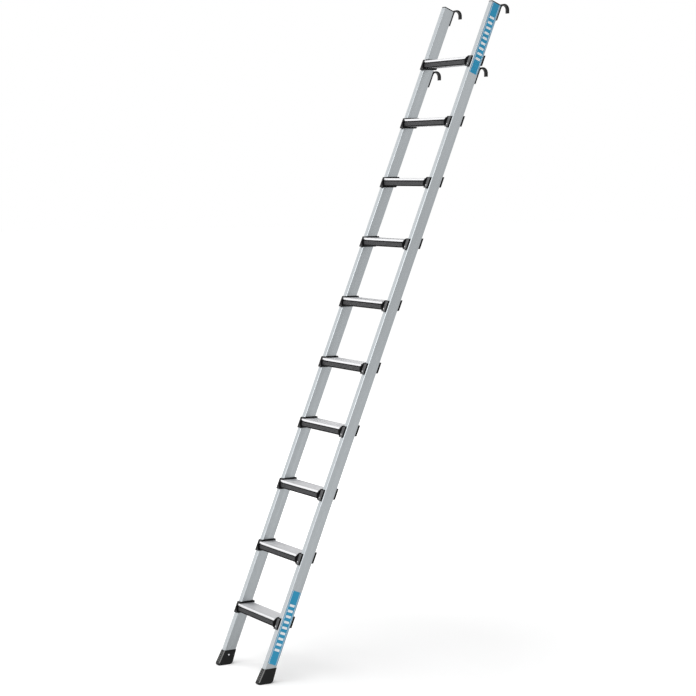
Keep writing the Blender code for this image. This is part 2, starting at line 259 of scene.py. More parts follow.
def grown(tree, unit, name, values):  # runs a tree on a unit mesh and gives back a plain mesh
    helper = bpy.data.objects.new(name, unit)
    bpy.context.scene.collection.objects.link(helper)
    change = helper.modifiers.new(name, "NODES")
    change.node_group = tree
    sockets = {item.name: item.identifier for item in tree.interface.items_tree if item.in_out == "INPUT"}
    for label, value in values.items():
        change[sockets[label]] = value
    bpy.context.view_layer.update()
    depsgraph = bpy.context.evaluated_depsgraph_get()
    result = bpy.data.meshes.new_from_object(helper.evaluated_get(depsgraph))
    result.name = name
    helper.modifiers.remove(change)
    bpy.data.objects.remove(helper, do_unlink=True)
    return result


rowTree = makeRowTree()
stripTree = makeStripTree()
print("lean frame and trees ready:", treadCount, "treads")

# effects that more than one finish uses
effectLook = {"noiseSpan": (0.3, 0.7),  # noise keeps mostly between these
              "lineScale": 1.0, "lineDetail": 3.0, "bandScale": 0.12, "bandDetail": 1.0, "lineDepth": 0.00005,
              "grainDetail": 2.0, "grainDepth": 0.0001, "grainRelief": 0.4,
              "mottleScale": 34.0, "mottleDetail": 3.0,
              # the patch noise breaks up the marks of wear and painted highlight
              "patchScale": 240.0, "patchDetail": 4.0, "patchLeast": 0.78}


def feed(tree, socket, value):  # links another node's output, or sets a plain value
    if isinstance(value, bpy.types.NodeSocket):
        tree.links.new(value, socket)
    else:
        socket.default_value = value


def worked(tree, operation, first, second=0.0):
    node = tree.nodes.new("ShaderNodeMath")
    node.operation = operation
    feed(tree, node.inputs[0], first)
    feed(tree, node.inputs[1], second)
    return node.outputs["Value"]


def mapped(tree, value, start, end, low, high):  # start to end becomes low to high
    node = tree.nodes.new("ShaderNodeMapRange")
    for label, number in (("From Min", start), ("From Max", end), ("To Min", low), ("To Max", high)):
        node.inputs[label].default_value = number
    tree.links.new(value, node.inputs["Value"])
    return node.outputs["Result"]


def noiseNode(tree, place, scale, detail):
    noise = tree.nodes.new("ShaderNodeTexNoise")
    feed(tree, noise.inputs["Scale"], scale)
    noise.inputs["Detail"].default_value = detail
    tree.links.new(place, noise.inputs["Vector"])
    return noise.outputs["Fac"]


def effectGroup(name, inputs, outputs):
    group = bpy.data.node_groups.new(name, "ShaderNodeTree")
    for label, kind in inputs:
        group.interface.new_socket(label, in_out="INPUT", socket_type="NodeSocket" + kind)
    for label in outputs:
        group.interface.new_socket(label, in_out="OUTPUT", socket_type="NodeSocketFloat")
    return group, group.nodes.new("NodeGroupInput"), group.nodes.new("NodeGroupOutput")


def makeDrawnGroup():  # fine lines left by the die, and slow bands in the sheen
    look = effectLook
    inputs = (("Place", "Vector"), ("Stretch", "Vector"))
    group, given, result = effectGroup("drawnLines", inputs, ("Lines", "Bands"))
    stretch = group.nodes.new("ShaderNodeVectorMath")
    stretch.operation = "MULTIPLY"
    group.links.new(given.outputs["Place"], stretch.inputs[0])
    group.links.new(given.outputs["Stretch"], stretch.inputs[1])
    place = stretch.outputs["Vector"]
    lines = noiseNode(group, place, look["lineScale"], look["lineDetail"])
    bands = noiseNode(group, place, look["bandScale"], look["bandDetail"])
    group.links.new(lines, result.inputs["Lines"])
    group.links.new(bands, result.inputs["Bands"])
    return group


def makeMouldGroup():  # spark-eroded mould grain and a faint mottle
    look = effectLook
    inputs = (("Place", "Vector"), ("Scale", "Float"))
    group, given, result = effectGroup("mouldGrain", inputs, ("Grain", "Mottle"))
    place = given.outputs["Place"]
    grain = noiseNode(group, place, given.outputs["Scale"], look["grainDetail"])
    mottle = noiseNode(group, place, look["mottleScale"], look["mottleDetail"])
    group.links.new(grain, result.inputs["Grain"])
    group.links.new(mottle, result.inputs["Mottle"])
    return group


def makeWearAndHighlightGroup():  # faces marked for wear and painted highlight, broken up into patches
    look = effectLook
    inputs = (("Place", "Vector"), ("Mask", "Float"))
    group, given, result = effectGroup("wornAndHighlightedEdges", inputs, ("WearAndHighlight",))
    noise = noiseNode(group, given.outputs["Place"], look["patchScale"], look["patchDetail"])
    patchyMarks = mapped(group, noise, *look["noiseSpan"], look["patchLeast"], 1.0)
    group.links.new(worked(group, "MULTIPLY", patchyMarks, given.outputs["Mask"]), result.inputs["WearAndHighlight"])
    return group


drawnGroup = makeDrawnGroup()
mouldGroup = makeMouldGroup()
wearAndHighlightGroup = makeWearAndHighlightGroup()


# finishes
def newFinish(name, metal=1.0, gloss=0.5):
    finish = bpy.data.materials.new(name)
    finish.use_nodes = True
    tree = finish.node_tree
    shader = tree.nodes["Principled BSDF"]
    shader.inputs["Metallic"].default_value = metal
    shader.inputs["Specular IOR Level"].default_value = gloss
    return finish, tree, shader


def objectPlace(tree, turn=(0, 0, 0)):
    place = tree.nodes.new("ShaderNodeTexCoord")
    mapping = tree.nodes.new("ShaderNodeMapping")
    mapping.inputs["Rotation"].default_value = turn
    tree.links.new(place.outputs["Object"], mapping.inputs["Vector"])
    return mapping.outputs["Vector"]


def placed(tree, group, place):  # an effect group, given the place that its pattern follows
    node = tree.nodes.new("ShaderNodeGroup")
    node.node_tree = group
    tree.links.new(place, node.inputs["Place"])
    return node


def mixed(tree, factor, first, second):  # each colour is a plain triple or another node's output
    mix = tree.nodes.new("ShaderNodeMix")
    mix.data_type = "RGBA"
    colours = [socket for socket in mix.inputs if socket.type == "RGBA"]
    for socket, colour in zip(colours, (first, second)):
        feed(tree, socket, (*colour, 1) if isinstance(colour, tuple) else colour)
    tree.links.new(factor, mix.inputs["Factor"])
    return next(socket for socket in mix.outputs if socket.type == "RGBA")


def roughened(tree, shader, noise, rough):  # roughness wanders between two values
    spread = mapped(tree, noise, *effectLook["noiseSpan"], *rough)
    tree.links.new(spread, shader.inputs["Roughness"])


def embossed(tree, shader, height, distance, strength):
    bump = tree.nodes.new("ShaderNodeBump")
    bump.inputs["Distance"].default_value = distance
    bump.inputs["Strength"].default_value = strength
    tree.links.new(height, bump.inputs["Height"])
    tree.links.new(bump.outputs["Normal"], shader.inputs["Normal"])


def drawnAluminium(name, look):
    finish, tree, shader = newFinish(name)
    lines = placed(tree, drawnGroup, objectPlace(tree, look["turn"]))
    lines.inputs["Stretch"].default_value = look["stretch"]
    colour = mixed(tree, lines.outputs["Bands"], look["dark"], look["light"])
    tree.links.new(colour, shader.inputs["Base Color"])
    shader.inputs["Specular Tint"].default_value = (*look["grazing"], 1)
    roughened(tree, shader, lines.outputs["Lines"], look["rough"])
    embossed(tree, shader, lines.outputs["Lines"], effectLook["lineDepth"], look["relief"])
    return finish


def mouldedPlastic(name, look):
    finish, tree, shader = newFinish(name, metal=0.0, gloss=look["gloss"])
    place = objectPlace(tree)
    moulded = placed(tree, mouldGroup, place)
    moulded.inputs["Scale"].default_value = look["grain"]
    colour = mixed(tree, moulded.outputs["Mottle"], look["dark"], look["light"])
    if "wearAndHighlight" in look:  # its pieces have faces marked for wear and painted highlight, which get a lighter colour
        marks = tree.nodes.new("ShaderNodeAttribute")
        marks.attribute_name = "wearAndHighlight"
        patchyMarks = placed(tree, wearAndHighlightGroup, place)
        tree.links.new(marks.outputs["Fac"], patchyMarks.inputs["Mask"])
        colour = mixed(tree, patchyMarks.outputs["WearAndHighlight"], colour, look["wearAndHighlight"])
    tree.links.new(colour, shader.inputs["Base Color"])
    roughened(tree, shader, moulded.outputs["Mottle"], look["rough"])
    embossed(tree, shader, moulded.outputs["Grain"], effectLook["grainDepth"], effectLook["grainRelief"])
    return finish


def brightSteel(name, look):
    finish, tree, shader = newFinish(name)
    moulded = placed(tree, mouldGroup, objectPlace(tree))
    moulded.inputs["Scale"].default_value = look["grain"]
    colour = mixed(tree, moulded.outputs["Grain"], look["dark"], look["light"])
    tree.links.new(colour, shader.inputs["Base Color"])
    roughened(tree, shader, moulded.outputs["Grain"], look["rough"])
    return finish


stileFinish = drawnAluminium("satinStile", {
    "turn": (leanTurn, 0, 0), "stretch": (500, 500, 2), "rough": (0.25, 0.37), "relief": 0.12,
    "dark": (0.320, 0.340, 0.353), "light": (0.362, 0.384, 0.398), "grazing": (0.95, 0.95, 0.96)})
treadFinish = drawnAluminium("millTread", {
    "turn": (0, 0, 0), "stretch": (4, 1100, 1100), "rough": (0.31, 0.43), "relief": 0.25,
    "dark": (0.58, 0.58, 0.59), "light": (0.65, 0.65, 0.66), "grazing": (0.86, 0.86, 0.87)})
# nosings, brackets and feet paint their marked faces in a lighter colour, partly as wear and partly as
# painted highlight
nosingFinish = mouldedPlastic("charcoalNosing", {
    "dark": (0.004, 0.004, 0.0045), "light": (0.007, 0.007, 0.0075), "wearAndHighlight": (0.078, 0.078, 0.081),
    "rough": (0.44, 0.56), "grain": 1500, "gloss": 0.05})
bracketFinish = mouldedPlastic("blackBracket", {
    "dark": (0.004, 0.004, 0.0045), "light": (0.007, 0.007, 0.0075), "wearAndHighlight": (0.110, 0.111, 0.114),
    "rough": (0.36, 0.48), "grain": 1300, "gloss": 0.06})
footFinish = mouldedPlastic("blackFoot", {
    "dark": (0.004, 0.004, 0.004), "light": (0.007, 0.007, 0.0065), "wearAndHighlight": (0.170, 0.170, 0.165),
    "rough": (0.40, 0.52), "grain": 1100, "gloss": 0.18})
capFinish = mouldedPlastic("blackCap", {
    "dark": (0.004, 0.004, 0.004), "light": (0.007, 0.007, 0.007),
    "rough": (0.44, 0.56), "grain": 1300, "gloss": 0.18})
hookFinish = mouldedPlastic("coatedHook", {
    "dark": (0.004, 0.004, 0.0045), "light": (0.007, 0.007, 0.0075),
    "rough": (0.30, 0.42), "grain": 700, "gloss": 0.12})
rivetFinish = brightSteel("brightRivet", {
    "dark": (0.62, 0.62, 0.63), "light": (0.74, 0.74, 0.75), "rough": (0.22, 0.38), "grain": 2600})
print("finishes ready")

# stiles
stileLook = {"corner": 0.0045, "innerCorner": 0.00225, "wall": 0.002, "steps": 8}
stileBox = {hand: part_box(f"stile_{hand}") for hand in hands}
stileFront, stileBack = spanOf("stile_left", rear)
stileTop = spanOf("stile_left", along)[1]
stileMiddle = (stileFront + stileBack) / 2


def stileOutline(hand, grow, radius):  # section grown or shrunk all round, as (x, depth) pairs
    low, high = stileBox[hand]
    return roundBox(low.x - grow, high.x + grow, stileFront - grow, stileBack + grow,
                    radius, stileLook["steps"])


def levelRing(outline, z):
    return [leanPoint(x, depth, levelCut(depth, z)) for x, depth in outline]


def squareRing(outline, height):
    return [leanPoint(x, depth, height) for x, depth in outline]


for hand in hands:
    outer = stileOutline(hand, 0, stileLook["corner"])
    inner = stileOutline(hand, -stileLook["wall"], stileLook["innerCorner"])
    bottom = stileBox[hand][0].z
    rings = [levelRing(outer, bottom), squareRing(outer, stileTop),
             squareRing(inner, stileTop), levelRing(inner, bottom)]
    mesh = plainMesh(skin(rings, ring=True), f"drawn_stile_{hand}")
    addPiece(mesh, stileFinish, [f"stile_{hand}"])
print("stiles done")

# treads
treadLook = {"wall": 0.002, "lip": 0.009,  # the lips turn in below
             "noseHeight": 0.009, "noseRadius": 0.0045, "noseSteps": 8,
             "ribHeight": 0.0007, "ribWidth": 0.0024, "ribStep": 0.0046, "ribRoot": 0.0004,
             "land": 0.003,  # flat strip before and behind the ribs
             "nosingDepth": 0.005, "tongueDepth": 0.002, "tongueHeight": 0.0065}  # the nosing's seat


def treadOutline(low, high):
    look = treadLook
    front, top, bottom = low.y, high.z, low.z
    tilt = along.y / along.z  # run of the back wall for each unit of height
    face = front + look["nosingDepth"]
    groove = face + look["tongueDepth"]
    inside = groove + look["wall"]
    middle = (top - look["noseHeight"] + bottom) / 2
    half = look["tongueHeight"] / 2
    sunk = top - look["ribHeight"]
    landBack = high.y - look["land"]
    landFront = front + look["noseRadius"] + look["land"]
    backBottom = high.y + (bottom - top) * tilt
    lipTop = bottom + look["wall"]
    slope = look["wall"] / along.z
    lipEnd = backBottom - slope - look["lip"]
    underTop = top - look["wall"] - look["ribHeight"]
    noseCentre = (front + look["noseRadius"], top - look["noseRadius"])
    return [
        (high.y, top), (landBack, top), (landBack - look["ribHeight"], sunk),
        (landFront + look["ribHeight"], sunk), (landFront, top),
        *arcPoints(noseCentre, look["noseRadius"], 90, 180, look["noseSteps"]),
        (front, top - look["noseHeight"]), (face, top - look["noseHeight"]),
        (face, middle + half), (groove, middle + half), (groove, middle - half), (face, middle - half),
        (face, bottom), (inside + look["lip"], bottom), (inside + look["lip"], lipTop), (inside, lipTop),
        (inside, underTop), (high.y - slope + (underTop - top) * tilt, underTop),
        (high.y - slope + (lipTop - top) * tilt, lipTop), (lipEnd, lipTop),
        (lipEnd, bottom), (backBottom, bottom),
    ]


low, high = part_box(treadNames[0])
bm = drawn(treadOutline(low, high), low.x, high.x)
ribBack = high.y - treadLook["land"]
ribRoom = ribBack - (low.y + treadLook["noseRadius"] + treadLook["land"])
ribCount = int(ribRoom / treadLook["ribStep"])
ribMargin = (ribRoom - (ribCount - 1) * treadLook["ribStep"]) / 2
unit = barUnit(low.x, high.x, treadLook["ribWidth"], treadLook["ribHeight"], treadLook["ribRoot"],
               plumb, "treadRib")
ribs = grown(rowTree, unit, "treadRibs", {
    "Count": ribCount, "Start": Vector((0, ribBack - ribMargin, high.z - treadLook["ribHeight"])),
    "Step": Vector((0, -treadLook["ribStep"], 0)), "Finish": treadFinish})
bm.from_mesh(ribs)
treadMesh = plainMesh(bm, "ribbed_tread")
for i, name in enumerate(treadNames):
    addPiece(moved(treadMesh, pitch * i, f"ribbed_{name}"), treadFinish, [name])
print("treads done:", ribCount, "ribs each")

# nosings
nosingLook = {"recess": 0.0011, "edge": 0.0050, "edgeRound": 0.0009, "edgeSteps": 3,
              "ribs": 3, "ribWidth": 0.0042, "ribRoot": 0.0004, "ribWearAndHighlight": 1.0,
              "tongueDepth": 0.0019, "play": 0.0003}


def nosingOutline(low, high):
    look = nosingLook
    face, sunk = low.y, low.y + look["recess"]
    back = high.y - look["tongueDepth"]
    middle = (low.z + high.z) / 2
    half = treadLook["tongueHeight"] / 2 - look["play"]
    bend = look["edgeRound"]
    return [
        *arcPoints((face + bend, high.z - bend), bend, 90, 180, look["edgeSteps"]),
        (face, high.z - look["edge"] + bend), (sunk, high.z - look["edge"]),
        (sunk, low.z + look["edge"]), (face, low.z + look["edge"] - bend),
        *arcPoints((face + bend, low.z + bend), bend, 180, 270, look["edgeSteps"]),
        (back, low.z), (back, middle - half), (high.y, middle - half),
        (high.y, middle + half), (back, middle + half), (back, high.z),
    ]


low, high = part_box("tread_nosing_01")
bm = wearAndHighlightReady(drawn(nosingOutline(low, high), low.x, high.x))
ribStep = (high.z - low.z - 2 * nosingLook["edge"]) / nosingLook["ribs"]
unit = barUnit(low.x, high.x, nosingLook["ribWidth"], nosingLook["recess"], nosingLook["ribRoot"],
               Vector((0, -1, 0)), "nosingRib")
ribStart = Vector((0, low.y + nosingLook["recess"], high.z - nosingLook["edge"] - ribStep / 2))
ribs = grown(rowTree, unit, "nosingRibs", {
    "Count": nosingLook["ribs"], "Start": ribStart, "Step": plumb * -ribStep, "Finish": nosingFinish})
# the ribs are painted lighter than the near-black recess and edges around them: partly wear, partly painted
# highlight
addWearAndHighlight(bm, ribs, nosingLook["ribWearAndHighlight"])
nosingMesh = plainMesh(bm, "ribbed_nosing")
for i in range(treadCount):
    name = f"nosing_{i + 1:02d}"
    mesh = moved(nosingMesh, pitch * i, f"ribbed_{name}")
    addPiece(mesh, nosingFinish, [f"tread_{name}"])
print("nosings done")

# blind rivets, in shares of the head's height and the hollow's radius
rivetLook = {"sides": 24, "domeBends": (0, 15, 30, 45, 58, 68),  # degrees up the dome
             "rimHeight": 0.95, "rimWidth": 1.1, "floorHeight": 0.55, "floorWidth": 0.5}


def rivetProfile(size, depth):  # shank, domed head, and the hollow that the pulled pin leaves
    tall, hollow = size["height"], size["hollow"]
    bends = [math.radians(bend) for bend in rivetLook["domeBends"]]
    dome = [(tall * math.sin(bend), size["head"] * math.cos(bend)) for bend in bends]
    rim = (tall * rivetLook["rimHeight"], hollow * rivetLook["rimWidth"])
    floorHeight = tall * rivetLook["floorHeight"]
    return [(-depth, size["shank"]), (0, size["shank"]), *dome, rim,
            (floorHeight, hollow), (floorHeight, hollow * rivetLook["floorWidth"])]


def rivetUnit(size, depth, origin, axis, name):  # the profile turned about an axis
    side = axis.orthogonal().normalized()
    third = axis.cross(side)
    turns = [math.tau * i / rivetLook["sides"] for i in range(rivetLook["sides"])]
    rings = []
    for reach, radius in rivetProfile(size, depth):
        centre = origin + axis * reach
        rings.append([centre + (side * math.cos(t) + third * math.sin(t)) * radius for t in turns])
    return plainMesh(skin(rings), name)


# brackets and the rivets through their front lips
# the edge and panel shares set how much lighter colour is painted on: wear and painted highlight on the
# edges, painted highlight on the lip's panel, set per side
bracketLook = {"sharpAngle": 40, "edge": 0.0008, "edgeSteps": 2, "edgeWearAndHighlight": 0.15,
               "lipArea": 0.0001, "panelInset": 0.0026, "panelDepth": 0.0009,
               "panelHighlight": {"left": 0.2, "right": 1.0}, "rivetDrop": 0.005, "rivetDepth": 0.003}
bracketRivet = {"head": 0.0031, "height": 0.0013, "shank": 0.0018, "hollow": 0.0009}


def mergedCopy(name):
    bm = bmesh.new()
    bm.from_mesh(nodes[name].data)
    bmesh.ops.remove_doubles(bm, verts=bm.verts, dist=meshLook["mergeDistance"])
    flatAngle = math.radians(meshLook["flatAngle"])
    bmesh.ops.dissolve_limit(bm, angle_limit=flatAngle, verts=bm.verts, edges=bm.edges)
    return bm


def softened(bm, look):  # eases the sharp edges and gives back the new faces
    least = math.radians(look["sharpAngle"])
    sharp = [edge for edge in bm.edges if edge.is_manifold and edge.calc_face_angle() > least]
    made = bmesh.ops.bevel(bm, geom=sharp, offset=look["edge"], segments=look["edgeSteps"],
                           profile=0.5, affect="EDGES", clamp_overlap=True)  # half is a plain round
    return made["faces"]


for hand in hands:
    bm = wearAndHighlightReady(mergedCopy(f"tread_bracket_{hand}_01"))
    # bevelled edges painted a little lighter: partly wear, partly painted highlight
    wearAndHighlight(bm, softened(bm, bracketLook), bracketLook["edgeWearAndHighlight"])
    lip = foremostFace(bm, -rear, bracketLook["lipArea"])
    panelMiddle = lip.calc_center_median() + rear * bracketLook["panelDepth"]
    bmesh.ops.inset_individual(bm, faces=[lip], thickness=bracketLook["panelInset"],
                               depth=-bracketLook["panelDepth"])
    # the lip's panel painted lighter as a painted highlight, fully on the right-hand brackets and faintly on
    # the left
    wearAndHighlight(bm, [lip], bracketLook["panelHighlight"][hand])
    bracketMesh = plainMesh(bm, f"moulded_bracket_{hand}")
    for i in range(treadCount):
        name = f"bracket_{hand}_{i + 1:02d}"
        mesh = moved(bracketMesh, pitch * i, f"moulded_{name}")
        addPiece(mesh, bracketFinish, [f"tread_{name}"])
    unit = rivetUnit(bracketRivet, bracketLook["rivetDepth"], Vector(), -rear, "bracketRivet")
    start = panelMiddle - along * bracketLook["rivetDrop"]
    rivets = grown(rowTree, unit, f"bracket_rivets_{hand}", {
        "Count": treadCount, "Start": start, "Step": pitch, "Finish": rivetFinish})
    addPiece(rivets, rivetFinish)
print("brackets done")

# hooks and their rivets
hookLook = {"thickness": 0.007, "middleRadius": 0.0215, "drop": 0.015, "bendSteps": 28,
            "edge": 0.0012, "edgeSteps": 3}
hookRivet = {"head": 0.00475, "height": 0.0021, "shank": 0.0025, "hollow": 0.0015}


def hookPath(name):
    look = hookLook
    low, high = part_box(name)
    outside = look["middleRadius"] + look["thickness"] / 2
    centre = Vector(((low.x + high.x) / 2, high.y - outside, high.z - outside))
    first = centre - rear * look["middleRadius"]
    path = [first - along * (along.dot(first) - spanOf(name, along)[0])]
    sweep = math.atan2(-rear.z, -rear.y) % math.tau  # from the shank over to the plumb tip
    for i in range(look["bendSteps"] + 1):
        t = sweep * (1 - i / look["bendSteps"])
        path.append(centre + look["middleRadius"] * Vector((0, math.cos(t), math.sin(t))))
    path.append(path[-1] - plumb * look["drop"])
    return path, high.x - low.x


def pathMesh(points, name):
    mesh = bpy.data.meshes.new(name)
    mesh.from_pydata(points, [(i, i + 1) for i in range(len(points) - 1)], [])
    return mesh


for hand in hands:
    for level in levels:
        name = f"hook_{level}_{hand}"
        points, width = hookPath(name)
        strip = grown(stripTree, pathMesh(points, "hookPath"), f"bent_{name}", {
            "Width": width, "Thickness": hookLook["thickness"], "Edge": hookLook["edge"],
            "Edge Steps": hookLook["edgeSteps"], "Finish": hookFinish})
        addPiece(strip, hookFinish, [name])
        rivetNames = [f"hook_rivet_{level}_{hand}_{end}" for end in "ba"]
        seat = spanOf(name, rear)[0] + hookLook["thickness"]  # outer face of the shank
        depth = seat - spanOf(rivetNames[0], rear)[0]
        spots = [seatedSpot(rivetName, rear, seat) for rivetName in rivetNames]
        unit = rivetUnit(hookRivet, depth, Vector(), rear, "hookRivet")
        rivets = grown(rowTree, unit, f"hook_rivets_{level}_{hand}", {
            "Count": len(spots), "Start": spots[0], "Step": spots[1] - spots[0], "Finish": rivetFinish})
        addPiece(rivets, rivetFinish, rivetNames)
print("hooks done")

# feet and their rivets
# the corner share paints a highlight on the toe's outer corners; the rib share paints wear and highlight on
# the toe ribs
footLook = {"round": 0.010, "roundSteps": 6, "toeFlare": 0.008, "heelFlare": 0.006, "sole": 0.009,
            "rim": 0.0006, "gap": 0.0003, "sideInset": 0.0045, "sideDepth": 0.0005,
            "cornerArea": 0.00002, "cornerFacing": 0.93, "cornerHighlight": 1.0,
            "toeInset": 0.0016, "toeDepth": 0.0013, "ribs": 6, "ribWidth": 0.0036, "ribRoot": 0.0003,
            "ribLow": 0.019, "ribHigh": 0.054, "ribWearAndHighlight": 0.5}
footRivet = {"head": 0.0036, "height": 0.0018, "shank": 0.0022, "hollow": 0.0011}


def footRing(outline, z, tall, out):  # level ring that flares towards the floor and rounds under
    look = footLook
    low = max(0.0, 1 - z / look["round"])
    inset = look["round"] * (1 - math.sqrt(1 - low * low))
    reach = (stileBack - stileFront) / 2 + out
    ring = []
    for x, depth in outline:
        share = (depth - stileMiddle) / reach
        flare = look["toeFlare" if share < 0 else "heelFlare"] * (1 - z / tall)
        ring.append(leanPoint(x, depth, levelCut(depth, z)) + Vector((0, (flare - inset) * share, 0)))
    return ring


def footShell(hand):  # boot with a pocket for the stile's end
    look = footLook
    low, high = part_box(f"foot_{hand}")
    out = stileBox[hand][0].x - low.x
    eased = out - look["rim"]
    outer = stileOutline(hand, out, stileLook["corner"] + out)
    rimmed = stileOutline(hand, eased, stileLook["corner"] + eased)
    pocket = stileOutline(hand, look["gap"], stileLook["corner"] + look["gap"])
    bends = [math.pi / 2 * i / look["roundSteps"] for i in range(look["roundSteps"] + 1)]
    heights = [look["round"] * (1 - math.cos(bend)) for bend in bends]
    heights.append(high.z - look["rim"])
    rings = [footRing(outer, z, high.z, out) for z in heights]
    rings += [levelRing(rimmed, high.z), levelRing(pocket, high.z), levelRing(pocket, look["sole"])]
    return wearAndHighlightReady(skin(rings))


def sinkFlank(bm, side, toeNormal):  # panel in one side, and the corner between it and the toe, painted lighter as a painted highlight
    look = footLook
    diagonal = (toeNormal + side).normalized()
    corner = [face for face in bm.faces
              if face.calc_area() > look["cornerArea"] and face.normal.dot(diagonal) > look["cornerFacing"]]
    wearAndHighlight(bm, corner, look["cornerHighlight"])
    flank = widestFace(bm, side)
    bmesh.ops.inset_individual(bm, faces=[flank], thickness=look["sideInset"], depth=-look["sideDepth"])


def ribToe(bm, toe, toeNormal):  # sinks the toe's face and lays ribs across it
    look = footLook
    spot = toe.calc_center_median()
    reachX = [vertex.co.x for vertex in toe.verts]
    half = (max(reachX) - min(reachX)) / 2 - look["toeInset"]
    bmesh.ops.inset_individual(bm, faces=[toe], thickness=look["toeInset"], depth=-look["toeDepth"])
    up = across.cross(toeNormal)
    up *= math.copysign(1, up.z)
    unit = barUnit(-half, half, look["ribWidth"], look["toeDepth"], look["ribRoot"], toeNormal, "toeRib")
    step = (look["ribHigh"] - look["ribLow"]) / up.z / (look["ribs"] - 1)
    lowest = spot + up * ((look["ribLow"] - spot.z) / up.z) - toeNormal * look["toeDepth"]
    ribs = grown(rowTree, unit, "toeRibs", {
        "Count": look["ribs"], "Start": lowest, "Step": up * step, "Finish": footFinish})
    # the toe ribs are painted partly lighter: wear on their crests and painted highlight
    addWearAndHighlight(bm, ribs, look["ribWearAndHighlight"])


for hand, side in hands.items():
    name = f"foot_{hand}"
    bm = footShell(hand)
    toe = widestFace(bm, -rear)
    toeNormal = toe.normal.copy()
    for flankSide in (across, -across):
        sinkFlank(bm, flankSide, toeNormal)
    ribToe(bm, toe, toeNormal)
    addPiece(plainMesh(bm, f"ribbed_{name}"), footFinish, [name])
    rivetName = f"foot_rivet_{hand}"
    inward = across * -side
    seat = max(inward.dot(corner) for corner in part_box(name)) - footLook["sideDepth"]
    depth = seat - spanOf(rivetName, inward)[0]
    unit = rivetUnit(footRivet, depth, seatedSpot(rivetName, inward, seat), inward, f"foot_rivet_head_{hand}")
    addPiece(unit, rivetFinish, [rivetName])
print("feet done")

# end caps
capLook = {"edge": 0.0007, "gap": 0.0003, "plugTaper": 0.001, "taperRise": 0.002}
for hand in hands:
    name = f"top_cap_{hand}"
    plugLow, plateTop = spanOf(name, along)
    seat = stileTop + capLook["gap"]
    inset = -(stileLook["wall"] + capLook["gap"])
    plug = stileOutline(hand, inset, stileLook["innerCorner"])
    taper = stileOutline(hand, inset - capLook["plugTaper"], stileLook["innerCorner"])
    plate = stileOutline(hand, 0, stileLook["corner"])
    eased = stileOutline(hand, -capLook["edge"], stileLook["corner"] - capLook["edge"])
    steps = [(taper, plugLow), (plug, plugLow + capLook["taperRise"]), (plug, seat), (plate, seat),
             (plate, plateTop - capLook["edge"]), (eased, plateTop)]
    mesh = plainMesh(skin([squareRing(outline, height) for outline, height in steps]), f"end_cap_{hand}")
    addPiece(mesh, capFinish, [name])
print("caps done")

# plain labels on the right stile
labelLook = {"width": 0.042, "corner": 0.003, "cornerSteps": 4, "lift": 0.00002, "thickness": 0.0002,
             "ends": {"lower": (0.0845, 0.400), "upper": (2.722, 3.0455)},  # up the stile from the floor
             "blue": (0.022, 0.290, 0.500), "white": (0.83, 0.85, 0.86), "gloss": 0.3, "rough": (0.30, 0.42),
             "grain": 420, "grainDepth": 0.00004, "grainRelief": 0.2,
             "barPitch": 0.024, "barShare": 0.42, "barReach": 0.108, "barHalf": 0.012,
             "line": 0.0016, "lineInset": 0.0175}


def labelMarks(tree):  # 1 on the bars and side lines, 0 on the ground; the map is in metres from the middle
    look = labelLook
    uv = tree.nodes.new("ShaderNodeUVMap")
    uv.uv_map = "labelMap"
    split = tree.nodes.new("ShaderNodeSeparateXYZ")
    tree.links.new(uv.outputs["UV"], split.inputs["Vector"])
    up = split.outputs["X"]
    side = worked(tree, "ABSOLUTE", split.outputs["Y"])
    fromBar = worked(tree, "ADD", up, look["barPitch"] * look["barShare"] / 2)  # a bar sits on the middle
    phase = worked(tree, "FRACT", worked(tree, "DIVIDE", fromBar, look["barPitch"]))
    inLength = worked(tree, "LESS_THAN", worked(tree, "ABSOLUTE", up), look["barReach"])
    inWidth = worked(tree, "LESS_THAN", side, look["barHalf"])
    bars = worked(tree, "LESS_THAN", phase, look["barShare"])
    bars = worked(tree, "MULTIPLY", bars, worked(tree, "MULTIPLY", inLength, inWidth))
    offLine = worked(tree, "ABSOLUTE", worked(tree, "SUBTRACT", side, look["lineInset"]))
    return worked(tree, "MAXIMUM", bars, worked(tree, "LESS_THAN", offLine, look["line"] / 2))


def labelFilm():
    look = labelLook
    finish, tree, shader = newFinish("labelFilm", metal=0.0, gloss=look["gloss"])
    colour = mixed(tree, labelMarks(tree), look["blue"], look["white"])
    tree.links.new(colour, shader.inputs["Base Color"])
    moulded = placed(tree, mouldGroup, objectPlace(tree))
    moulded.inputs["Scale"].default_value = look["grain"]
    roughened(tree, shader, moulded.outputs["Mottle"], look["rough"])
    embossed(tree, shader, moulded.outputs["Grain"], look["grainDepth"], look["grainRelief"])
    return finish


labelFinish = labelFilm()
floorReach = levelCut(stileMiddle, 0)  # the stile's axis at the floor
labelSeat = stileBox["right"][1].x
labelFaces = (labelSeat + labelLook["lift"], labelSeat + labelLook["thickness"])
half = labelLook["width"] / 2
for level, (start, end) in labelLook["ends"].items():
    outline = roundBox(start, end, -half, half, labelLook["corner"], labelLook["cornerSteps"])
    bm = skin([[leanPoint(x, stileMiddle + v, floorReach + u) for u, v in outline] for x in labelFaces])
    mapLayer = bm.loops.layers.uv.new("labelMap")
    for face in bm.faces:
        for loop in face.loops:
            point = loop.vert.co
            up = along.dot(point) - floorReach - (start + end) / 2
            loop[mapLayer].uv = (up, rear.dot(point) - stileMiddle)
    addPiece(plainMesh(bm, f"stile_label_{level}"), labelFinish)
print("labels done")

# floor, light and camera
# the near and far glow are a painted glow on the floor, weakest near the ladder
stageLook = {"floorHalf": 60.0, "drop": 0.0003, "floorColour": (0.9, 0.9, 0.9), "floorRough": 0.9,
             "nearGlow": 0.17, "farGlow": 0.78, "glowStart": 0.65, "glowEnd": 4.0, "ambient": 0.3,
             "unmirrored": ("topBox",)}  # the treads would mirror this lamp and burn out


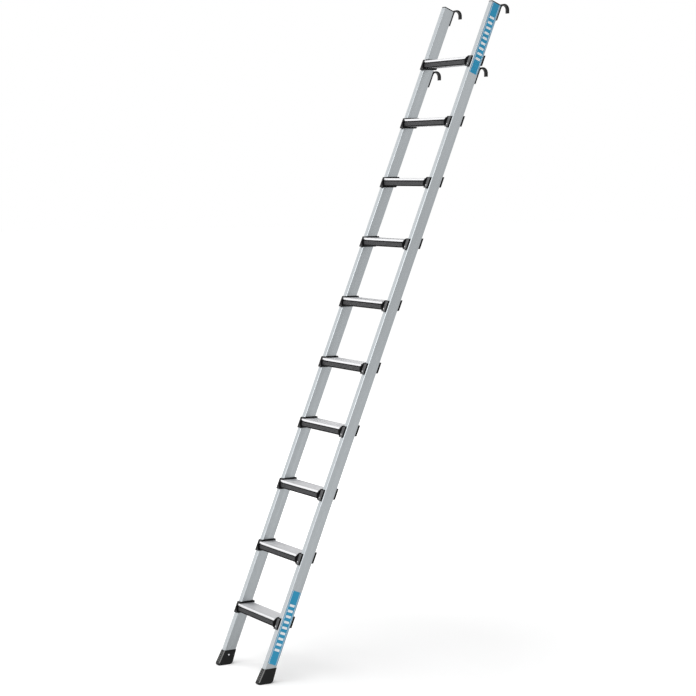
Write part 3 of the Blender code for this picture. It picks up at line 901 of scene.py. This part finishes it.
def backdropRays(tree):  # 1 for camera, mirror and glass rays, which see a white backdrop
    rays = tree.nodes.new("ShaderNodeLightPath").outputs
    seen = worked(tree, "MAXIMUM", rays["Is Camera Ray"], rays["Is Glossy Ray"])
    return worked(tree, "MAXIMUM", seen, rays["Is Transmission Ray"])


def paleFloor():  # pale paper with a painted glow for camera and mirror rays, weak near the ladder and strong far off, which lifts it to white away from the ladder and leaves it darker around the ladder as painted shade
    look = stageLook
    paper, tree, shader = newFinish("paleFloor", metal=0.0, gloss=0.0)
    shader.inputs["Base Color"].default_value = (*look["floorColour"], 1)
    shader.inputs["Roughness"].default_value = look["floorRough"]
    shader.inputs["Emission Color"].default_value = (1, 1, 1, 1)
    away = tree.nodes.new("ShaderNodeVectorMath")
    away.operation = "LENGTH"
    tree.links.new(objectPlace(tree), away.inputs[0])
    # the painted glow grows with distance from the ladder
    lift = mapped(tree, away.outputs["Value"], look["glowStart"], look["glowEnd"],
                  look["nearGlow"], look["farGlow"])
    glow = worked(tree, "MULTIPLY", backdropRays(tree), lift)
    tree.links.new(glow, shader.inputs["Emission Strength"])
    return paper


floorCorners = ((-1, -1), (1, -1), (1, 1), (-1, 1))
floorHalf = stageLook["floorHalf"]
bm = bmesh.new()
bm.faces.new([bm.verts.new((x * floorHalf, y * floorHalf, -stageLook["drop"])) for x, y in floorCorners])
floor = bpy.data.objects.new("floor", plainMesh(bm, "floor"))
bpy.context.scene.collection.objects.link(floor)
floor.data.materials.append(paleFloor())

world = bpy.data.worlds.new("studio")
bpy.context.scene.world = world
world.use_nodes = True
skyTree = world.node_tree
sky = skyTree.nodes["Background"]
sky.inputs["Color"].default_value = (1, 1, 1, 1)
skyLight = mapped(skyTree, backdropRays(skyTree), 0, 1, stageLook["ambient"], 1)
skyTree.links.new(skyLight, sky.inputs["Strength"])

lampLook = {
    "topBox": {"from": (-0.12, -0.22, 0.97), "reach": 5.0, "size": (4.5, 4.5), "power": 160},
    "leftBox": {"from": (-0.84, -0.44, 0.28), "reach": 6.0, "size": (5.5, 8.5), "power": 100},
    "frontBox": {"from": (0.25, -0.85, 0.46), "reach": 6.0, "size": (7.0, 5.0), "power": 242},
    "cameraBox": {"from": (0.80, -0.50, 0.40), "reach": 8.0, "size": (3.0, 3.0), "power": 80},
    "rearBox": {"from": (0.75, 0.53, 0.41), "reach": 3.6, "size": (1.4, 1.4), "power": 2},
}
target = Vector((0, 0, cadBox[1].z / 2))
for name, look in lampLook.items():
    lamp = bpy.data.lights.new(name, "AREA")
    lamp.shape = "RECTANGLE"
    lamp.size, lamp.size_y = look["size"]
    lamp.energy = look["power"]
    holder = bpy.data.objects.new(name, lamp)
    bpy.context.scene.collection.objects.link(holder)
    direction = Vector(look["from"]).normalized()
    holder.location = target + direction * look["reach"]
    holder.rotation_euler = direction.to_track_quat("Z", "Y").to_euler()
    holder.visible_camera = False
    holder.visible_glossy = name not in stageLook["unmirrored"]

cameraLook = {"place": (6.8826, -4.1986, 2.0860), "turn": 59.0764, "tilt": -5.2240,
              "lens": 97.238, "sensor": 36}
lens = bpy.data.cameras.new("photoCamera")
lens.sensor_width = cameraLook["sensor"]
lens.lens = cameraLook["lens"]
camera = bpy.data.objects.new("photoCamera", lens)
bpy.context.scene.collection.objects.link(camera)
camera.location = cameraLook["place"]
camera.rotation_euler = (math.radians(90 + cameraLook["tilt"]), 0, math.radians(cameraLook["turn"]))
bpy.context.scene.camera = camera
bpy.context.scene.view_settings.view_transform = "Standard"
print("stage done")
